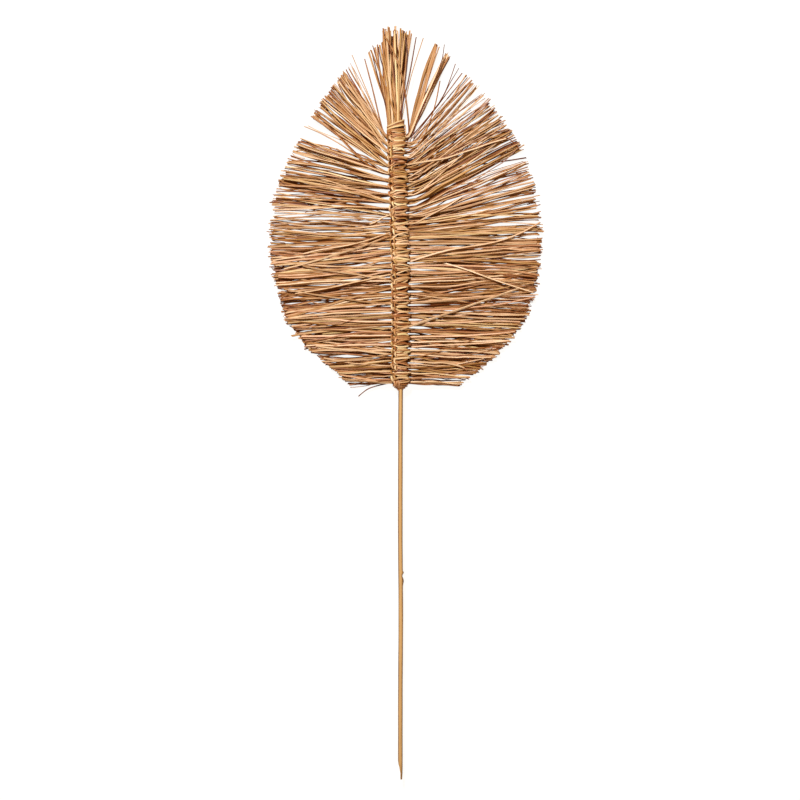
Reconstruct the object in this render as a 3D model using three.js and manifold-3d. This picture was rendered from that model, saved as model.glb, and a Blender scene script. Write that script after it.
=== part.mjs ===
// A palm-leaf shaped decoration made of dried straw. Courses of straw lie across a bundled straw
// spine on a bamboo stick, one binding straw lashes them on with a hitch at every turn, and the
// blade is trimmed to a leaf's outline. The upper courses are laid in from each side and fan up.
// Millimetres, +Z up. The leaf lies on its back: +Y runs from the stick to the tip of the leaf,
// +X to the right of its front, and the origin is under the base knot, on the resting surface.
import * as THREE from "three";
import { mergeVertices } from "three/addons/utils/BufferGeometryUtils.js";
import Module from "manifold-3d";

// Driving dimensions
const clearance = 0.3;
const blade = {
  halfWidth: 164, centreX: 5.4, widestY: 171, footRise: 180, tipRise: 288, tipPower: 1.85, topY: 431,
};
const spine = {
  halfWidth: 10, halfDepth: 5, topY: 317, leanFromY: 100, lean: -6, leanPower: 1.5, steps: 8, sides: 14,
};
const stick = { diameter: 5.2, footY: -470, splitY: -462, shoulderY: -456, topY: 294, sides: 10 };
const lashing = {
  width: 3, thickness: 1.2, firstY: 4, lastY: 304, frontSteps: 8, backHalfWidth: 6.5, flankZ: 4,
};
const courses = {
  count: 35, acrossCount: 20, waistDepth: 5.5, tipDepth: 8, tipGap: 0.4, sections: [0, 0.4, 1], shoulder: 0.2,
};
const knot = { footY: -3.5, bandGap: 1.8, coreInset: 2, curveSteps: 8 };
const chain = { radius: 2.2, angle: 130, sides: 8 };
const tuft = {
  rootLeft: -8.5, rootRight: 9, tipLeft: -42, tipLeftY: 394, tipRight: 16, tipRightY: 428, depth: 9, steps: 4,
};

// The foot of the stick, in shares of its radius: how far right the split wood lies, and its halves
const split = { right: 0.55, halfWidth: 0.45, halfDepth: 0.7 };
const sliver = { right: 0.65, halfWidth: 0.3, halfDepth: 0.4 };

// How far each side's straw rises above level, in degrees, against its place in the courses counted
// from the base. Two keys at one place part the straw and leave a notch in the blade.
const fan = {
  left: [[0, -4], [1.4, 1], [5.5, -1], [10.4, -3], [15.2, -4], [20, -2.5], [20, 0.5], [25.4, 5], [27.8, 8],
    [29.6, 13], [31, 17], [31, 31], [33.4, 47], [35, 65]],
  right: [[0, -2], [4.8, -1], [10.4, 0], [16, 0], [18.8, 1.5], [20.9, 3], [22.4, 7], [23.8, 11], [26, 15.5],
    [26, 23], [28.6, 28], [30.7, 33], [32.8, 41], [34, 56], [35, 81]],
};

// Sizes that follow from them
const pitch = (lashing.lastY - lashing.firstY) / courses.count;
const waistZ = lashing.thickness + clearance;
const coreZ = waistZ + courses.waistDepth + clearance + spine.halfDepth;
const coreFootY = knot.footY + knot.coreInset;
const innerHalf = { x: spine.halfWidth + clearance, z: spine.halfDepth + clearance };
const outerHalf = { x: innerHalf.x + lashing.thickness, z: innerHalf.z + lashing.thickness };
const waistInset = lashing.width / 2 + clearance;
const rootX = outerHalf.x + clearance;
const courseEdge = 0.01;
const degrees = THREE.MathUtils.degToRad;

const materials = {
  bamboo: new THREE.MeshStandardMaterial({ color: 0xc99f69, roughness: 0.55, metalness: 0 }),
  straw: new THREE.MeshStandardMaterial({ color: 0xb98b60, roughness: 0.7, metalness: 0 }),
  binding: new THREE.MeshStandardMaterial({ color: 0xbb8a5a, roughness: 0.7, metalness: 0 }),
};

// Sideways place of the spine's axis at a height: straight, then leaning left near the tip
function spineX(y) {
  const share = Math.max(0, y - spine.leanFromY) / (spine.topY - spine.leanFromY);
  return spine.lean * share ** spine.leanPower;
}

// Half the trimmed blade's width at a height: an ellipse below its widest place, a point above
function bladeHalfWidth(y) {
  const rise = y - blade.widestY;
  if (rise < 0) return blade.halfWidth * Math.sqrt(Math.max(0, 1 - (rise / blade.footRise) ** 2));
  return blade.halfWidth * (1 - (rise / blade.tipRise) ** blade.tipPower);
}

// Straight-line reading of a list of [place, value] keys, between the first and the last of them
function readKeys(keys, place) {
  const next = keys.findIndex(([at]) => at > place);
  const [[fromPlace, from], [toPlace, to]] = [keys[next - 1], keys[next]];
  return from + ((to - from) * (place - fromPlace)) / (toPlace - fromPlace);
}

// Point where a straw that leaves the spine at a height, on one side, meets the trimmed outline
function trimPoint(side, rootY, angle) {
  const start = new THREE.Vector2(spineX(rootY) + side * rootX, rootY);
  const way = new THREE.Vector2(side * Math.cos(degrees(angle)), Math.sin(degrees(angle)));
  let inside = 0;
  let outside = blade.halfWidth * 2;
  for (let step = 0; step < 40; step++) {
    const middle = (inside + outside) / 2;
    const point = start.clone().addScaledVector(way, middle);
    const within = Math.abs(point.x - blade.centreX) < bladeHalfWidth(point.y) && point.y < blade.topY;
    if (within) inside = middle;
    else outside = middle;
  }
  return start.addScaledVector(way, inside);
}

// Closed skin through rings of points that all have the same count, capped at both ends
function loft(rings) {
  const count = rings[0].length;
  const index = [];
  rings.slice(1).forEach((_, ring) => {
    for (let i = 0; i < count; i++) {
      const a = ring * count + i;
      const b = ring * count + ((i + 1) % count);
      index.push(a, b, a + count, b, b + count, a + count);
    }
  });
  const last = (rings.length - 1) * count;
  for (let i = 1; i < count - 1; i++) {
    index.push(0, i + 1, i);
    index.push(last, last + i, last + i + 1);
  }
  const geometry = new THREE.BufferGeometry().setFromPoints(rings.flat());
  return geometry.setIndex(index);
}

// Ring around the Y axis: an ellipse in the XZ plane, turning so that a loft towards +Y faces out
function ellipseRing(y, x, z, halfX, halfZ, sides) {
  return Array.from({ length: sides }, (_, i) => {
    const angle = (-2 * Math.PI * i) / sides;
    return new THREE.Vector3(x + halfX * Math.cos(angle), y, z + halfZ * Math.sin(angle));
  });
}

// Solid of a closed geometry, for boolean cuts
const wasm = await Module();
wasm.setup();
function solidOf(geometry) {
  const merged = mergeVertices(geometry);
  const mesh = new wasm.Mesh({
    numProp: 3,
    vertProperties: merged.getAttribute("position").array,
    triVerts: new Uint32Array(merged.index.array),
  });
  return new wasm.Manifold(mesh);
}

function geometryOf(solid) {
  const mesh = solid.getMesh();
  const geometry = new THREE.BufferGeometry();
  geometry.setAttribute("position", new THREE.BufferAttribute(mesh.vertProperties, 3));
  return geometry.setIndex(new THREE.BufferAttribute(mesh.triVerts, 1));
}

// Evenly spaced heights along the spine
function spineHeights(fromY, toY) {
  return Array.from({ length: spine.steps + 1 }, (_, i) => fromY + ((toY - fromY) * i) / spine.steps);
}

// Bamboo stick: a split at its foot leaves a sliver on the right, and it follows the spine's lean
function stickGeometry(grow = 0, footY = stick.footY) {
  const radius = stick.diameter / 2 + grow;
  const rings = spineHeights(lashing.firstY, stick.topY + grow).map((y) =>
    ellipseRing(y, spineX(y), coreZ, radius, radius, stick.sides),
  );
  if (footY > stick.shoulderY) {
    return loft([ellipseRing(footY, 0, coreZ, radius, radius, stick.sides), ...rings]);
  }
  const cut = (y, { right, halfWidth, halfDepth }) =>
    ellipseRing(y, radius * right, coreZ, radius * halfWidth, radius * halfDepth, stick.sides);
  const shoulder = ellipseRing(stick.shoulderY, 0, coreZ, radius, radius, stick.sides);
  return loft([cut(stick.footY, sliver), cut(stick.splitY, split), shoulder, ...rings]);
}

// Core bundle: lengthwise straw around the stick, whose free ends spread into the tuft at the tip
function coreGeometry() {
  const rings = spineHeights(coreFootY, spine.topY).map((y) =>
    ellipseRing(y, spineX(y), coreZ, spine.halfWidth, spine.halfDepth, spine.sides),
  );
  for (let step = 1; step <= tuft.steps; step++) {
    const share = step / tuft.steps;
    const left = THREE.MathUtils.lerp(spine.lean + tuft.rootLeft, tuft.tipLeft, share);
    const right = THREE.MathUtils.lerp(spine.lean + tuft.rootRight, tuft.tipRight, share);
    const depth = THREE.MathUtils.lerp(spine.halfDepth, tuft.depth / 2, share);
    const leftY = THREE.MathUtils.lerp(spine.topY, tuft.tipLeftY, share);
    const rightY = THREE.MathUtils.lerp(spine.topY, tuft.tipRightY, share);
    const ring = ellipseRing(0, (left + right) / 2, coreZ, (right - left) / 2, depth, spine.sides);
    const across = (point) => (point.x - left) / (right - left);
    ring.forEach((point) => point.setY(THREE.MathUtils.lerp(leftY, rightY, Math.sqrt(across(point)))));
    rings.push(ring);
  }
  const bore = solidOf(stickGeometry(clearance, coreFootY - knot.bandGap));
  return geometryOf(solidOf(loft(rings)).subtract(bore));
}

// One wing of a course: six-sided sections from the lashing out to the trimmed edge. The two long
// edges start in the slot between two turns of the lashing and widen to the neighbouring wings.
function wingRings(side, course) {
  const keys = side < 0 ? fan.left : fan.right;
  const lowY = lashing.firstY + course * pitch;
  const highY = lowY + pitch;
  const lowTip = trimPoint(side, lowY, readKeys(keys, course + courseEdge));
  const highTip = trimPoint(side, highY, readKeys(keys, course + 1 - courseEdge));
  const inset = highTip.clone().sub(lowTip).setLength(courses.tipGap);
  const lowRoot = new THREE.Vector2(spineX(lowY) + side * rootX, lowY + waistInset);
  const highRoot = new THREE.Vector2(spineX(highY) + side * rootX, highY - waistInset);
  lowTip.add(inset);
  highTip.sub(inset);
  return courses.sections.map((share) => {
    const low = lowRoot.clone().lerp(lowTip, share);
    const high = highRoot.clone().lerp(highTip, share);
    const floor = waistZ * (1 - share);
    const depth = THREE.MathUtils.lerp(courses.waistDepth, courses.tipDepth, share);
    return sectionRing(low, high, floor, depth);
  });
}

// Six-sided upright section between two plan points, as deep as the straw is piled there
function sectionRing(low, high, floor, depth) {
  const { shoulder } = courses;
  const corner = (across, up) => {
    const plan = low.clone().lerp(high, across);
    return new THREE.Vector3(plan.x, plan.y, floor + depth * up);
  };
  return [corner(0, 0.5), corner(shoulder, 0), corner(1 - shoulder, 0), corner(1, 0.5),
    corner(1 - shoulder, 1), corner(shoulder, 1)];
}

// The part of a course that is tucked behind the core, cut at a sideways place
function waistRing(course, x) {
  const lowY = lashing.firstY + course * pitch;
  const highY = lowY + pitch;
  const low = new THREE.Vector2(spineX(lowY) + x, lowY + waistInset);
  const high = new THREE.Vector2(spineX(highY) + x, highY - waistInset);
  return sectionRing(low, high, waistZ, courses.waistDepth);
}

// A lower course runs straight across behind the core, from one edge of the blade to the other
function acrossGeometry(course) {
  return loft([...wingRings(-1, course).reverse(), ...wingRings(1, course)]);
}

// An upper course is laid in from one side, its root tucked behind the core up to the middle
function sideGeometry(side, course) {
  const rings = [waistRing(course, side * clearance), ...wingRings(side, course)];
  return loft(side < 0 ? rings.reverse() : rings);
}

// Round the spine once, seen along +Y: over the front from left to right, then behind to the left.
// Each place gives the lashing's inner and outer points and how far it has climbed to the next turn.
function turnPlaces() {
  const places = [];
  for (let step = 0; step <= lashing.frontSteps; step++) {
    const angle = Math.PI * (1 - step / lashing.frontSteps);
    const [cos, sin] = [Math.cos(angle), Math.sin(angle)];
    const inner = [innerHalf.x * cos, coreZ + innerHalf.z * sin];
    const outer = [outerHalf.x * cos, coreZ + outerHalf.z * sin];
    places.push({ inner, outer, climb: 0 });
  }
  for (const [side, climb] of [[1, 0], [-1, 1]]) {
    const flank = {
      inner: [side * innerHalf.x, lashing.flankZ],
      outer: [side * outerHalf.x, lashing.flankZ],
      climb,
    };
    const back = {
      inner: [side * (lashing.backHalfWidth + lashing.thickness / 2), lashing.thickness],
      outer: [side * lashing.backHalfWidth, 0],
      climb,
    };
    places.push(...(side > 0 ? [flank, back] : [back, flank]));
  }
  return places;
}

// The lashing: one binding straw wound round core and courses, climbing one pitch behind each course
function lashingGeometry() {
  const half = lashing.width / 2;
  const rings = [];
  for (let turn = 0; turn <= courses.count; turn++) {
    for (const { inner, outer, climb } of turnPlaces()) {
      if (turn === courses.count && climb > 0) break;
      const y = lashing.firstY + (turn + climb) * pitch;
      const at = ([x, z], sideways) => new THREE.Vector3(spineX(y) + x, y + sideways, z);
      rings.push([at(inner, -half), at(inner, half), at(outer, half), at(outer, -half)]);
    }
  }
  return loft(rings);
}

// Outline of the spine with its lashing, seen along +Y, with a flat back on the resting surface
function spineOutline(halfX, halfZ) {
  const outline = new THREE.Shape();
  outline.moveTo(-lashing.backHalfWidth, 0);
  outline.lineTo(lashing.backHalfWidth, 0);
  outline.lineTo(halfX, coreZ - halfZ);
  outline.absellipse(0, coreZ, halfX, halfZ, 0, Math.PI, false);
  outline.lineTo(-halfX, coreZ - halfZ);
  outline.closePath();
  return outline;
}

// A band of binding round the core: extruded along Y, with the core passing through it
function bandGeometry(outline, fromY, toY) {
  const core = new THREE.Path().absellipse(0, coreZ, innerHalf.x, innerHalf.z, 0, Math.PI * 2, true);
  outline.holes.push(core);
  const shape = { depth: toY - fromY, bevelEnabled: false, curveSegments: knot.curveSteps };
  const geometry = new THREE.ExtrudeGeometry(outline, shape);
  geometry.rotateX(Math.PI / 2).translate(spineX((fromY + toY) / 2), toY, 0);
  return geometry;
}

function baseKnotGeometry() {
  return bandGeometry(spineOutline(outerHalf.x, outerHalf.z), knot.footY, lashing.firstY - knot.bandGap);
}

function topBandGeometry() {
  const outline = new THREE.Shape().absellipse(0, coreZ, outerHalf.x, outerHalf.z, 0, Math.PI * 2, false);
  return bandGeometry(outline, lashing.lastY + knot.bandGap, spine.topY - clearance);
}

// Line of the hitches: up the front of the spine, on its left
class HitchLine extends THREE.Curve {
  getPoint(share, target = new THREE.Vector3()) {
    const y = THREE.MathUtils.lerp(knot.footY, spine.topY, share);
    const [cos, sin] = [Math.cos(degrees(chain.angle)), Math.sin(degrees(chain.angle))];
    const out = new THREE.Vector2(cos / outerHalf.x, sin / outerHalf.z).setLength(chain.radius + clearance);
    return target.set(spineX(y) + outerHalf.x * cos + out.x, y, coreZ + outerHalf.z * sin + out.y);
  }
}

function hitchChainGeometry() {
  const section = new THREE.Shape();
  for (let i = 0; i < chain.sides; i++) {
    const angle = (2 * Math.PI * i) / chain.sides;
    const point = [chain.radius * Math.cos(angle), chain.radius * Math.sin(angle)];
    if (i === 0) section.moveTo(...point);
    else section.lineTo(...point);
  }
  section.closePath();
  return new THREE.ExtrudeGeometry(section, { steps: courses.count, extrudePath: new HitchLine() });
}

const leaf = new THREE.Group();
function add(name, geometry, material) {
  const mesh = new THREE.Mesh(geometry, material);
  mesh.name = name;
  leaf.add(mesh);
}

const twoDigits = (course) => String(course + 1).padStart(2, "0");
add("bamboo_stick", stickGeometry(), materials.bamboo);
add("core_bundle_and_tuft", coreGeometry(), materials.straw);
for (let course = 0; course < courses.acrossCount; course++) {
  add(`straw_course_${twoDigits(course)}`, acrossGeometry(course), materials.straw);
}
for (let course = courses.acrossCount; course < courses.count; course++) {
  add(`left_straw_bunch_${twoDigits(course)}`, sideGeometry(-1, course), materials.straw);
  add(`right_straw_bunch_${twoDigits(course)}`, sideGeometry(1, course), materials.straw);
}
add("lashing_straw", lashingGeometry(), materials.binding);
add("hitch_chain", hitchChainGeometry(), materials.binding);
add("base_knot", baseKnotGeometry(), materials.binding);
add("top_band", topBandGeometry(), materials.binding);

export default leaf;
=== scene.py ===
"""Looks of a leaf-shaped straw decoration: its straws, lashing and bamboo stick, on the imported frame."""

import math
import random

import bpy
import numpy as np
from bpy.props import FloatProperty, FloatVectorProperty, IntProperty, PointerProperty
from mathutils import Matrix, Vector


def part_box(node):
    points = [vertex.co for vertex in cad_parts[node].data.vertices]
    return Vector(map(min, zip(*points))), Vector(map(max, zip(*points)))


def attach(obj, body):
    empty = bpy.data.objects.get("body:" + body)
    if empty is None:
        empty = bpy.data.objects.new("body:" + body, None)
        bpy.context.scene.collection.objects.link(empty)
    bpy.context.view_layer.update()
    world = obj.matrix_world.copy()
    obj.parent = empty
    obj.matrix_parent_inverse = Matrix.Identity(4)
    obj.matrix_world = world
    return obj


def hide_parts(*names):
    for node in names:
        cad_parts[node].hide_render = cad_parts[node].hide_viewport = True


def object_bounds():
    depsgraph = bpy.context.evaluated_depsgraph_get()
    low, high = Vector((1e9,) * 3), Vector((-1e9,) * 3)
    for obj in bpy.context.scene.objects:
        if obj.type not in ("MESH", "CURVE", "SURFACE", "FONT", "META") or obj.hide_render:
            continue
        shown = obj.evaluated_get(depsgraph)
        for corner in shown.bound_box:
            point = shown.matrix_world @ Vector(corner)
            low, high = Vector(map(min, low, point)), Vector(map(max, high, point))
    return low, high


bl_info = {
    "name": "Straw leaf",
    "version": (1, 0, 0),
    "blender": (4, 5, 0),
    "location": "View3D > Sidebar > Straw leaf",
    "description": "Lays the straws, the lashing and the stick of a leaf-shaped straw decoration",
    "category": "Add Mesh",
}

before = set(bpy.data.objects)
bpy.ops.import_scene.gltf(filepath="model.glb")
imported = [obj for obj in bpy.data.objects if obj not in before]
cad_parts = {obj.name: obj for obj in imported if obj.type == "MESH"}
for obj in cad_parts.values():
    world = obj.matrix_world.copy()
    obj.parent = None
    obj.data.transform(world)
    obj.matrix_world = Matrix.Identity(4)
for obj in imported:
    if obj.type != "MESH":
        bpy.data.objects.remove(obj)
CAD_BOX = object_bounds()
BODY = "root"

# The leaf's plan in millimetres, from the frame: the leaf lies on its back, its tip towards +Y
MM = 0.001
LEAF_LOW, LEAF_HIGH = (corner / MM for corner in CAD_BOX)
LASHING_LOW, LASHING_HIGH = (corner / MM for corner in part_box("lashing_straw"))
BAND_LOW, BAND_HIGH = (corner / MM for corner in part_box("top_band"))
STICK_LOW, STICK_HIGH = (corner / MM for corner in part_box("bamboo_stick"))
KNOT_LOW, _ = (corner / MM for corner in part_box("base_knot"))
ACROSS_COUNT = sum(name.startswith("straw_course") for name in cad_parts)
COURSE_COUNT = ACROSS_COUNT + sum(name.startswith("left_straw_bunch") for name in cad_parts)
LASHING_WIDTH = 3.0
FIRST_Y = LASHING_LOW.y + LASHING_WIDTH / 2
LAST_Y = LASHING_HIGH.y - LASHING_WIDTH / 2
PITCH = (LAST_Y - FIRST_Y) / COURSE_COUNT
SPINE_TOP_Y = BAND_HIGH.y
SPINE_HALF_WIDTH = (BAND_HIGH.x - BAND_LOW.x) / 2
SPINE_HALF_DEPTH = (BAND_HIGH.z - BAND_LOW.z) / 2
SPINE_Z = (BAND_HIGH.z + BAND_LOW.z) / 2

# The spine's axis runs straight, then leans to the left towards the tip
LEAN_FROM_Y = 100.0
LEAN = -6.0
LEAN_POWER = 1.5

# The line of hitches, at an angle round the front of the spine, tucks the lashing in on its left
HITCH_ANGLE = 132.0
LEFT_TUCK = 1.8

# Where the straw of each side leaves the lashing, and the heights of the pile: in the lashing's grip,
# just outside it, at the tips, and of a straw that lies on the floor
ROOT_X = {-1: SPINE_HALF_WIDTH + 0.4 - LEFT_TUCK, 1: SPINE_HALF_WIDTH + 0.4}
WAIST_LOW_Z = 2.1
WAIST_HIGH_Z = 6.4
ROOT_HIGH_Z = 12.0
TIP_HIGH_Z = 8.0
FLOOR_STRAW_Z = 0.8

# The trimmed outline: how far out the straws of each side reach, against the height
EDGE = {
    -1: [(2, 60), (9, 68), (21, 77), (33, 97), (57, 118), (81, 136), (105, 143), (129, 149), (165, 157),
         (201, 155), (237, 149), (273, 135), (309, 113), (345, 94), (381, 66), (393, 54)],
    1: [(2, 71), (9, 79), (33, 110), (57, 132), (81, 150), (105, 159), (141, 166), (177, 169), (201, 169),
        (237, 162), (261, 157), (285, 148), (297, 140), (333, 115), (369, 87), (393, 62), (404, 54),
        (414, 40)],
}

# How far the straw of each side rises above level, in degrees, against its place in the courses.
# Two keys at one place part the straw and leave a notch.
FAN = {
    -1: [(0, -4), (1.4, 1), (5.5, -1), (10.4, -3), (15.2, -4), (20, -2.5), (20, 0.5), (25.4, 5),
         (27.8, 9.5), (29.2, 15), (30.2, 19), (30.2, 33), (31.6, 39), (33.4, 49), (35, 64)],
    1: [(0, -2), (4.8, -1), (10.4, 0), (16, 0), (18.8, 1.5), (20.9, 3), (22.4, 7), (23.6, 15), (24.8, 21.5),
        (24.8, 26.5), (26, 27), (28.6, 30), (30.7, 34.5), (32.8, 43), (34, 57), (35, 81)],
}
SIDE_NAMES = {-1: "left", 1: "right"}

# The notch of each side: its place in the courses, the slopes of the straw below and above it, and how many
# courses away it is still felt
NOTCH = {-1: (30.2, 19, 33), 1: (24.8, 21.5, 26.5)}
NOTCH_FELT = 4

# The steepest slope in each side's fan, in degrees, and the slopes of the two tight bundles that part the
# topmost bunch on the right
STEEPEST = {-1: 55.5, 1: 47.0}
TOP_BUNDLES = (62.5, 71.5)

# Slopes, in degrees, below which a straw counts as level and above which it counts as steep
LEVEL = 10
STEEP = 55

# How the bunches differ: courses where the left is thin or full and where the right opens and grows sparse,
# then the straws of each kind beyond the usual number, and its share of the usual width
THIN_LEFT = range(21, 25)
FULL_LEFT_FROM = 28
OPEN_FROM = 25
SPARSE_FROM = 31
MORE_STRAWS = {"usual": 0, "thin": -3, "full": 1, "open": -3, "sparse": -6, "topmost": 3}
WIDTH_SHARE = {"usual": 0.95, "thin": 0.85, "full": 0.95, "open": 0.85, "sparse": 0.85, "topmost": 1.35}

# Spread of the slopes in one bunch, in degrees: of the blade, and of each side's fan
BLADE_SPREAD = 2.3
FAN_SPREAD = {-1: 2.6, 1: 3.8}

# Room that the lashing leaves below and above a bunch: low in the blade, and from a course on, on each side
BLADE_MARGIN = (0.8, 2.5)
FAN_MARGIN = {-1: (2.9, 3.6), 1: (1.5, 2.4)}
SQUEEZED_FROM = 24

# Usual tones of the straws that run across and of those laid in from a side
ACROSS_TONE = 0.57
SIDE_TONE = 0.53

# Single straws that lie across the others: side, course, rise in degrees, length, tone, place in the pile
STRAYS = [
    (1, 30, 15.5, 124, 0.9, 1.0), (1, 3, -9, 66, 0.8, 0.7), (1, 12, -6, 140, 0.65, 1.0),
    (-1, 20, -16.4, 133, 0.85, 0.9), (-1, 21, -19.4, 108, 0.8, 1.0), (-1, 15, -12, 118, 0.8, 0.9),
    (-1, 14, 9.5, 108, 0.8, 0.5), (-1, 4, -8, 84, 0.8, 1.0), (-1, 11, 7, 130, 0.75, 1.0),
    (-1, 29, 29, 116, 0.6, 0.9), (-1, 30, 22, 46, 0.4, 0.3), (-1, 31, 26, 52, 0.5, 0.5),
    (-1, 31, 29, 78, 0.3, 0.2), (-1, 30, 19, 66, 0.5, 0.4), (1, 25, 18, 62, 0.4, 0.3),
    (1, 25, 21, 46, 0.5, 0.6), (1, 26, 20, 74, 0.3, 0.3), (1, 26, 22, 52, 0.6, 0.6),
    (1, 25, 16.5, 96, 0.6, 0.5), (-1, 23, -21, 26, 0.9, 1.0), (1, 22, 26, 72, 0.8, 1.0),
]

# Stray straws paler than this lie on top of the pile, at this height
ON_TOP_TONE = 0.7
ON_TOP_Z = 12.8

# Bent straws and broken bits: side, course, width, tone and points
LOOSE = [
    (1, 30, 1.4, 0.15, [(20, 262, 8), (46, 274, 9.5), (88, 288, 9.5), (122, 299, 9), (132, 298, 8.8),
                        (143, 287, 8)]),
    (-1, 0, 1.8, 0.1, [(-9, 6, 4), (-22, 3.4, 5), (-38, -1.6, 4.5), (-50, -10.6, 3)]),
    (1, 1, 2.2, 0.0, [(33, 15.6, 4), (34.6, 15.2, 5), (36.4, 14.4, 5)]),
    (-1, 10, 1.3, 0.05, [(-128, 90, 5), (-136, 91.4, 5.5), (-143, 99, 5)]),
    (-1, 9, 1.3, 0.05, [(-126, 85, 5), (-134, 82.6, 5.5), (-140, 81.2, 5)]),
    (1, 8, 2.9, 1.0, [(0.5, 69, 20.3), (12, 73, 18), (30, 79.5, 13.6), (92, 101, 11.6), (143, 119, 10.5)]),
    (1, 17, 2.8, 0.78, [(11, 150.5, 12), (25, 155, 12.6), (58, 164.5, 12.4), (101, 171.5, 11.8),
                        (124, 177, 11.4), (147, 186, 11), (168, 198, 10)]),
    (1, 16, 2.1, 0.95, [(48, 151, 5), (66, 145.5, 9.5), (84, 139.6, 11.8), (120, 126.5, 11.6),
                        (160, 113.8, 10.5)]),
    (1, 34, 1.3, 0.12, [(16, 304, 10), (36, 326, 11), (52, 350, 12), (60, 369, 12), (66.5, 388, 12)]),
    (1, 34, 1.2, 0.08, [(15, 302, 9), (34, 325, 10), (50, 346, 11), (60, 365, 11), (70.7, 383, 11)]),
    (1, 33, 1.7, 0.25, [(16, 300, 9), (42, 334, 10), (74.4, 377, 10)]),
    (1, 33, 1.5, 0.5, [(16, 298, 8), (50, 334, 9), (84, 372.4, 9)]),
    (1, 32, 1.9, 0.4, [(12, 284, 7), (20, 290, 8), (28.8, 301.6, 9), (41.5, 336.4, 11), (48, 367.6, 11.5)]),
    (1, 34, 1.3, 0.1, [(14, 300, 9), (30, 342, 12), (45, 377, 13), (50.5, 393, 13), (53.2, 411, 13)]),
    (-1, 34, 1.9, 0.3, [(-19, 302, 9), (-24, 320, 11), (-33, 358, 12), (-42.4, 394, 12)]),
    (-1, 34, 1.6, 0.8, [(-18, 303, 8), (-30, 332, 9), (-57.6, 399, 9)]),
    (-1, 33, 1.8, 0.75, [(-18, 297, 8), (-36, 334, 9), (-57.6, 385, 9)]),
    (-1, 30, 2.1, 0.42, [(-22, 258, 7), (-46.8, 273.4, 9), (-61, 287.8, 10), (-79, 305.8, 10),
                         (-106.8, 325.6, 9)]),
    (-1, 30, 1.3, 0.2, [(-26, 262, 6), (-52, 281, 8), (-72, 301, 9), (-100, 327, 9)]),
    (1, 25, 1.4, 0.2, [(40, 215, 5), (80, 241, 7), (108, 261, 8), (124, 270.6, 8), (142, 288, 8)]),
]

# The tuft: how many straws lie deep in it, dark brown as painted shade inside the tuft, and how many pale
# ones over them, and where their tips lie
TUFT_DEEP = 18
TUFT_DEEP_X = (-19, 10)
TUFT_DEEP_Y = 421
TUFT_OPEN = 18
TUFT_OPEN_X = (-19, 14.5)
TUFT_OPEN_Y = (429.5, 425.5)

# The tuft's tips from left to right, with the roots that they spread from, its heights about the spine's
# middle, and the tone below which a straw lies deep
TUFT_X = (-43, 17)
TUFT_ROOT_X = (-8.2, 7)
TUFT_HEIGHT = (-3.4, 3.6)
TUFT_DEEP_TONE = 0.07

# Straws that stand out at the tuft's sides: tip, share of the usual width, and tone
TUFT_EDGE = [
    (-37.5, 402, 1.15, 0.6), (-35, 404, 0.9, 0.5), (-32.8, 410, 0.75, 0.3), (-30, 408, 0.9, 0.65),
    (-27.2, 411, 0.8, 0.35), (-24.5, 410, 1.0, 0.6), (-21.6, 413.5, 1.1, 0.5),
    (19.4, 419.6, 0.7, 0.08), (28, 419, 0.45, 0.66), (-17, 430, 0.7, 0.15), (-13, 431, 0.75, 0.3),
]

# Dark straws high in the tuft, painted shadows of the gaps between its straws: width, height above the
# spine's middle, and points in plan
TUFT_SHADOW_STRAWS = [
    (2.3, 2.6, [(-4, 300), (-5, 320), (-2.6, 350), (-3.8, 363), (-6.5, 374), (-10.2, 397), (-15, 413),
                (-17, 424)]),
    (2.0, 2.2, [(-2, 300), (-2, 320), (-1, 350), (-0.6, 373), (-0.6, 392), (-2.6, 403), (-5.2, 415),
                (-7.9, 427)]),
    (1.6, 3.0, [(-12, 300), (-13, 320), (-14.3, 349), (-16, 369), (-18.4, 378), (-23.4, 394), (-26, 408)]),
    (1.9, 2.4, [(0, 300), (1, 320), (4, 345), (6.6, 370), (8.9, 396), (7.4, 412), (5, 427)]),
    (1.5, 2.4, [(-11.6, 300), (-13, 320), (-18, 341), (-23.4, 360), (-28.8, 381), (-33, 398)]),
]

# One straw that leans over the tuft from the right
TUFT_LEANING = [
    (11, 303, 9), (10.3, 317.8, 11.5), (6.6, 349.6, 15), (1.2, 377, 17), (-9.6, 406, 17.4),
    (-18.8, 420, 17),
]

# The ring of straws round the stick: how many, and the highest of their tones, kept dark as painted shade
# in the gaps of the lashing
RING_COUNT = 18
RING_SHADE_TONE = 0.08

# The turns of the base knot: height, girth and lift. Its upright loops: place across.
KNOT_TURNS = [
    (3.0, 0.86, 0.3), (2.0, 0.76, 0.4), (0.9, 0.66, 0.4), (-0.3, 0.52, 0.4), (-1.5, 0.38, 0.3),
    (-2.6, 0.27, 0.1),
]
KNOT_LOOPS = (-6.4, -3.8, -1.0)

# The strands of the top band: how far below the band's top they end on the left and on the right
BAND_STRANDS = [
    (-14, -18.2), (-12.6, -15.4), (-10.8, -10.4), (-9.4, -7.6), (-7.6, -2.6), (-6.6, -0.4), (-5.6, 1.8),
    (-4.8, 4.0),
]
BAND_UPRIGHT = [(6.0, 315, 11), (6.6, 310, 13.5), (6.8, 304, 13.5), (6.4, 295, 11)]

# One hitch: sideways, up the spine and outward from its middle
HITCH_LINK = [(1.0, -3.2, -1.5), (0.65, -2.1, 1.0), (0.0, 0.0, 2.1), (-0.65, 2.1, 1.0), (-1.0, 3.2, -1.5)]

# The stick: cuts along it, how far it sways to the right and where most, how long its foot is split, and
# over what length the left half of the split runs out
STICK_CUTS = 190
SWAY = 0.6
SWAY_Y = -279
SPLIT_LONG = 21
SPLIT_TAPER = 11

# The scar of a bud on the right of the stick: its middle, then place from there, height and half length of
# each swelling or dip
SCAR_Y = -230
SCAR = [(8, 1.2, 1.4), (3.5, -0.7, 1.8), (-2, 1.0, 3.8)]

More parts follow.
